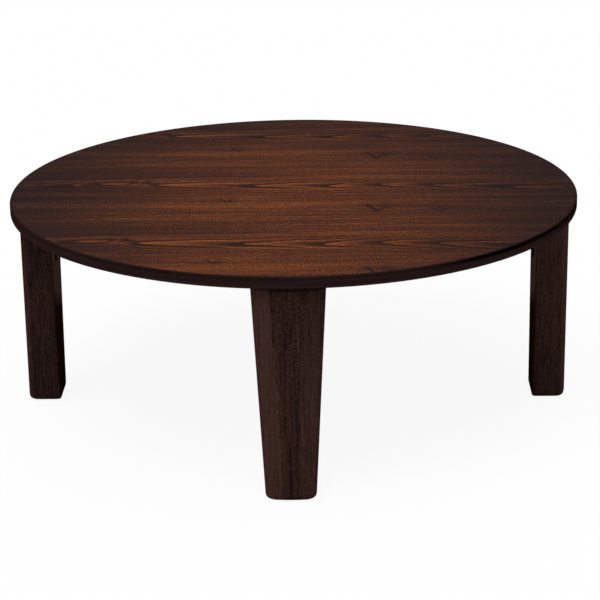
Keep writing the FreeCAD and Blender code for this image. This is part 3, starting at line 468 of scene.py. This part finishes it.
# A plain finish: its screen colour, its roughness, and the scale and spread of its wear
def makePlain(name, colour, roughness, metal=0.0, scale=30.0, spread=0.25, specular=0.4):
    material, tree, shader = newMaterial(name)
    marks = useGroup(tree, wearGroup, {"Vector": place(tree), "Scale": scale})
    dim = tuple(channel * (1 - spread) for channel in colour[:3]) + (1.0,)
    pale = tuple(min(1.0, channel * (1 + spread)) for channel in colour[:3]) + (1.0,)
    tree.links.new(blend(tree, marks["Cloud"], dim, pale), shader.inputs["Base Color"])
    join(tree, shader.inputs["Roughness"], (marks["Cloud"] - 0.5) * 0.2 + roughness)
    shader.inputs["Metallic"].default_value = metal
    shader.inputs["Specular IOR Level"].default_value = specular
    bump(tree, shader, marks["Speck"], 0.06)
    return material


materials = {
    "face_veneer": makeVeneer(),
    "edge_wood": makeStained("edgeWood", screen(27, 18, 18), screen(45, 30, 29), roundRim, 240.0, 5.0,
                             sheen=0.0, marks=rimPaintedLight, deep=screen(8, 3, 3)),
    "leg_wood": makeLegWood(),
    "frame_wood": makeStained("frameWood", screen(74, 52, 38), screen(120, 88, 62), alongRail, 260.0, 8.0,
                              sheen=0.02),
    "core_board": makePlain("coreBoard", screen(166, 134, 96), 0.85, scale=400.0, spread=0.2, specular=0.1),
    "backing_paper": makePlain("backingPaper", screen(74, 56, 46), 0.7, scale=60.0, spread=0.12, specular=0.2),
    "dowel_wood": makeStained("dowelWood", screen(178, 140, 96), screen(206, 172, 128), upright, 60.0, 3.0),
    "hinge_steel": makePlain("hingeSteel", screen(34, 27, 25), 0.6, scale=120.0, spread=0.15, specular=0.0),
    "spring_steel": makePlain("springSteel", screen(66, 66, 72), 0.4, metal=1.0, scale=200.0),
    "pin_steel": makePlain("pinSteel", screen(42, 40, 39), 0.5, scale=200.0, specular=0.06),
    "screw_steel": makePlain("screwSteel", screen(40, 38, 37), 0.5, scale=220.0, specular=0.06),
    "pad_rubber": makePlain("padRubber", screen(38, 37, 36), 0.8, scale=150.0, specular=0.25),
    "foot_felt": makePlain("footFelt", screen(62, 50, 44), 0.95, scale=500.0, spread=0.35, specular=0.05),
    "heater_enamel": makePlain("heaterEnamel", screen(34, 33, 34), 0.5, scale=80.0, spread=0.15),
    "guard_flock": makePlain("guardFlock", screen(40, 38, 37), 0.9, scale=500.0, spread=0.3, specular=0.1),
    "reflector_metal": makePlain("reflectorMetal", screen(228, 228, 230), 0.22, metal=1.0, scale=40.0,
                                 spread=0.06),
    "quartz": makePlain("quartz", screen(232, 226, 218), 0.3, scale=90.0, spread=0.06, specular=0.6),
    "white_ceramic": makePlain("whiteCeramic", screen(228, 222, 208), 0.6, scale=120.0, spread=0.07),
    "motor_can": makePlain("motorCan", screen(178, 178, 174), 0.35, metal=1.0, scale=150.0, spread=0.12),
    "fan_sheet": makePlain("fanSheet", screen(204, 204, 204), 0.3, metal=1.0, scale=120.0, spread=0.1),
    "inlet_plastic": makePlain("inletPlastic", screen(36, 36, 37), 0.5, scale=160.0, spread=0.1),
    "pin_brass": makePlain("pinBrass", screen(196, 164, 96), 0.28, metal=1.0, scale=220.0, spread=0.1),
}
print("materials made:", len(materials))


# A closed mesh on a body, in place of the CAD nodes named; edges sharper than the angle stay crisp
def newPiece(name, bm, body, slot, replaced, sharpAngle=30.0):
    bmesh.ops.recalc_face_normals(bm, faces=bm.faces)
    mesh = bpy.data.meshes.new(name)
    bm.to_mesh(mesh)
    bm.free()
    for face in mesh.polygons:
        face.use_smooth = True
    mesh.set_sharp_from_angle(angle=math.radians(sharpAngle))
    mesh.materials.append(materials[slot])
    piece = bpy.data.objects.new(name, mesh)
    scene.collection.objects.link(piece)
    weighted = piece.modifiers.new("flatFaces", "WEIGHTED_NORMAL")
    weighted.keep_sharp = True
    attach(piece, body)
    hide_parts(*replaced)


bandSet = {"inner": 0.446, "outer": 0.450, "low": 0.332, "high": 0.350, "round": 0.003, "steps": 288, "arc": 6}


def makeBand():
    use = bandSet
    bm = bmesh.new()
    radius = use["round"]
    hub = use["outer"] - radius
    profile = [(use["inner"], use["low"])]
    for height, start in ((use["low"] + radius, -90), (use["high"] - radius, 0)):
        for index in range(use["arc"] + 1):
            angle = math.radians(start + 90 * index / use["arc"])
            profile.append((hub + radius * math.cos(angle), height + radius * math.sin(angle)))
    profile.append((use["inner"], use["high"]))
    points = [bm.verts.new((reach, 0, height)) for reach, height in profile]
    edges = [bm.edges.new((points[i - 1], points[i])) for i in range(len(points))]
    bmesh.ops.spin(bm, geom=points + edges, cent=(0, 0, 0), axis=(0, 0, 1), angle=math.tau, steps=use["steps"],
                   use_merge=True)
    newPiece("edgeBandPiece", bm, "top_board", "edge_wood", ["edge_band"])


leafSet = {"radius": 0.446, "low": 0.3494, "high": 0.350, "seam": 0.155, "steps": 96, "weld": 1e-6}


def makeLeaf(name, near, far):
    use = leafSet
    radius = use["radius"]

    def arc(start, end):
        return [start + (end - start) * index / use["steps"] for index in range(use["steps"] + 1)]

    low, high = (math.asin(max(-1, min(1, edge / radius))) for edge in (near, far))
    angles = arc(low, high) + arc(math.pi - high, math.pi - low)
    bm = bmesh.new()
    rim = []
    for angle in angles:
        spot = Vector((radius * math.cos(angle), radius * math.sin(angle), use["low"]))
        if not rim or min((spot - rim[end].co).length for end in (0, -1)) > use["weld"]:
            rim.append(bm.verts.new(spot))
    face = bm.faces.new(rim)
    raised = bmesh.ops.extrude_face_region(bm, geom=[face])
    tops = [item for item in raised["geom"] if isinstance(item, bmesh.types.BMVert)]
    bmesh.ops.translate(bm, verts=tops, vec=(0, 0, use["high"] - use["low"]))
    newPiece(f"{name}Piece", bm, "top_board", "face_veneer", [name])


legShape = {
    "inner": 0.385, "outer": 0.440, "crown": 0.150, "topHalf": 0.054, "footHalf": 0.037, "low": 0.002, "high": 0.330,
    "outerRound": 0.010, "innerRound": 0.005, "rows": 30, "columns": 18, "corner": 6, "sharpAngle": 50.0,
}


def fillet(radius, height):  # how far a rounded foot draws in at a height over the floor end
    return radius - math.sqrt(radius ** 2 - (radius - height) ** 2) if height < radius else 0.0


def legRing(half, outer, inner):  # one section as (across, reach), from the inner left corner round the outer face
    use = legShape
    crown, corner, small = use["crown"], use["outerRound"], use["innerRound"]
    centre = outer - crown
    slope = math.asin((half - corner) / (crown - corner))  # where the crown runs into the corner's arc
    hub = centre + (crown - corner) * math.cos(slope)
    ring = []
    for index in range(use["corner"] + 1):
        angle = math.radians(90 * index / use["corner"])
        ring.append((-half + small * (1 - math.sin(angle)), inner + small * (1 - math.cos(angle))))
    for index in range(use["corner"]):
        angle = math.pi / 2 + (slope - math.pi / 2) * index / use["corner"]
        ring.append((-half + corner - corner * math.sin(angle), hub + corner * math.cos(angle)))
    for index in range(use["columns"] + 1):
        angle = slope * (2 * index / use["columns"] - 1)
        ring.append((crown * math.sin(angle), centre + crown * math.cos(angle)))
    ring += [(-across, reach) for across, reach in reversed(ring[:2 * use["corner"] + 1])]
    return ring


def makeLeg(station, turn):
    use = legShape
    rise = use["high"] - use["low"]
    angles = [math.radians(90 * step / use["corner"]) for step in range(use["corner"] + 1)]
    foot = [use["outerRound"] * (1 - math.cos(angle)) for angle in angles]
    shaft = [foot[-1] + (rise - foot[-1]) * row / use["rows"] for row in range(1, use["rows"] + 1)]
    bm = bmesh.new()
    grain = bm.verts.layers.float_vector.new("grain")  # where each point lies in the leg, before it is turned
    loops = []
    for height in foot + shaft:
        half = use["footHalf"] + (use["topHalf"] - use["footHalf"]) * height / rise
        drawn = fillet(use["outerRound"], height)
        section = legRing(half - drawn, use["outer"] - drawn, use["inner"] + fillet(use["innerRound"], height))
        ring = []
        for across, reach in section:
            vert = bm.verts.new((across, -reach, use["low"] + height))
            vert[grain] = Vector((across, reach - use["inner"], height))
            ring.append(vert)
        loops.append([bm.edges.new((ring[index - 1], ring[index])) for index in range(len(ring))])
    for lower, upper in zip(loops, loops[1:]):
        bmesh.ops.bridge_loops(bm, edges=lower + upper)
    for end in (loops[0], loops[-1]):
        bmesh.ops.edgeloop_fill(bm, edges=end)
    bmesh.ops.rotate(bm, verts=bm.verts, cent=(0, 0, 0), matrix=Matrix.Rotation(math.radians(turn), 3, "Z"))
    newPiece(f"leg{station.title()}Piece", bm, f"leg_{station}", "leg_wood", [f"leg_{station}"],
             sharpAngle=use["sharpAngle"])


makeBand()
makeLeaf("veneer_leaf_front", -leafSet["radius"], -leafSet["seam"])
makeLeaf("veneer_leaf_middle", -leafSet["seam"], leafSet["seam"])
makeLeaf("veneer_leaf_rear", leafSet["seam"], leafSet["radius"])
for station, turn in (("front", 0), ("right", 90), ("back", 180), ("left", 270)):
    makeLeg(station, turn)
print("pieces made")

for entry in frame["record"]["subparts"]:
    node = nodes[entry["node"]]
    node.data.materials.clear()
    node.data.materials.append(materials[entry["material_slot"]])
print("frame nodes finished")


stageSet = {"reach": 60.0, "floor": (0.93, 0.93, 0.93, 1.0), "roughness": 0.9, "white": 0.92, "world": 0.2}


def seenRays(tree):  # 1 for rays that see or mirror the background, 0 for those that only light the object
    ray = put(tree, "ShaderNodeLightPath").outputs
    seen = Term(tree, ray["Is Camera Ray"])
    for kind in ("Is Glossy Ray", "Is Transmission Ray"):
        seen = seen + Term(tree, ray[kind])
    return seen.limited()


def makeFloor():
    use = stageSet
    bm = bmesh.new()
    bmesh.ops.create_grid(bm, x_segments=1, y_segments=1, size=use["reach"])
    mesh = bpy.data.meshes.new("studioFloor")
    bm.to_mesh(mesh)
    bm.free()
    material, tree, shader = newMaterial("studioFloor")
    shader.inputs["Base Color"].default_value = use["floor"]
    shader.inputs["Roughness"].default_value = use["roughness"]
    shader.inputs["Specular IOR Level"].default_value = 0.0
    white = put(tree, "ShaderNodeEmission", {"Color": (1, 1, 1, 1), "Strength": 1.0}).outputs[0]
    links = {0: seenRays(tree) * use["white"], 1: shader.outputs[0], 2: white}
    mixed = put(tree, "ShaderNodeMixShader", links).outputs[0]
    below = put(tree, "ShaderNodeNewGeometry").outputs["Backfacing"]
    clear = put(tree, "ShaderNodeBsdfTransparent").outputs[0]
    oneWay = put(tree, "ShaderNodeMixShader", {0: below, 1: mixed, 2: clear}).outputs[0]  # clear from underneath
    tree.links.new(oneWay, tree.nodes["Material Output"].inputs["Surface"])
    mesh.materials.append(material)
    floor = bpy.data.objects.new("studioFloor", mesh)
    scene.collection.objects.link(floor)


# Wide soft lights from far off: the side they come from, their spread in degrees and their power
lampSet = {
    "keyLamp": {"side": (-0.2, -0.45, 1.0), "spread": 40, "power": 2.0},
    "topLamp": {"side": (0.1, 0.1, 1.0), "spread": 70, "power": 0.8},
}


def makeLamp(name, side, spread, power):
    data = bpy.data.lights.new(name, "SUN")
    data.angle = math.radians(spread)
    data.energy = power
    lamp = bpy.data.objects.new(name, data)
    lamp.location = Vector(side).normalized() * 4
    lamp.rotation_euler = Vector(side).to_track_quat("Z", "Y").to_euler()
    scene.collection.objects.link(lamp)


def makeWorld():
    world = bpy.data.worlds.new("studio")
    world.use_nodes = True
    sky = world.node_tree.nodes["Background"].inputs
    sky["Color"].default_value = (1, 1, 1, 1)
    sky["Strength"].default_value = stageSet["world"]
    scene.world = world


# The photo's camera: metres from the table's axis and above the floor, focus and image in pixels, degrees
cameraSet = {
    "back": 3.2226, "height": 1.2734, "focus": 2094.94, "image": 600, "sensor": 36.0,
    "pitch": 19.042, "yaw": 0.143, "roll": 0.797, "turn": 1.299,
}


def makeCamera():
    use = cameraSet
    pitch, yaw, roll = (math.radians(use[key]) for key in ("pitch", "yaw", "roll"))
    ahead = Vector((math.sin(yaw) * math.cos(pitch), math.cos(yaw) * math.cos(pitch), -math.sin(pitch)))
    right = ahead.cross(Vector((0, 0, 1))).normalized()
    down = ahead.cross(right)
    across = right * math.cos(roll) + down * math.sin(roll)
    below = down * math.cos(roll) - right * math.sin(roll)
    pose = Matrix((across, -below, -ahead)).transposed().to_4x4()
    pose.translation = Vector((0, -use["back"], use["height"]))
    data = bpy.data.cameras.new("photoCamera")
    data.sensor_width = use["sensor"]
    data.lens = use["focus"] * data.sensor_width / use["image"]
    camera = bpy.data.objects.new("photoCamera", data)
    camera.matrix_world = Matrix.Rotation(math.radians(use["turn"]), 4, "Z") @ pose
    scene.collection.objects.link(camera)
    scene.camera = camera


makeFloor()
for name, lamp in lampSet.items():
    makeLamp(name, **lamp)
makeWorld()
makeCamera()
print("stage set")
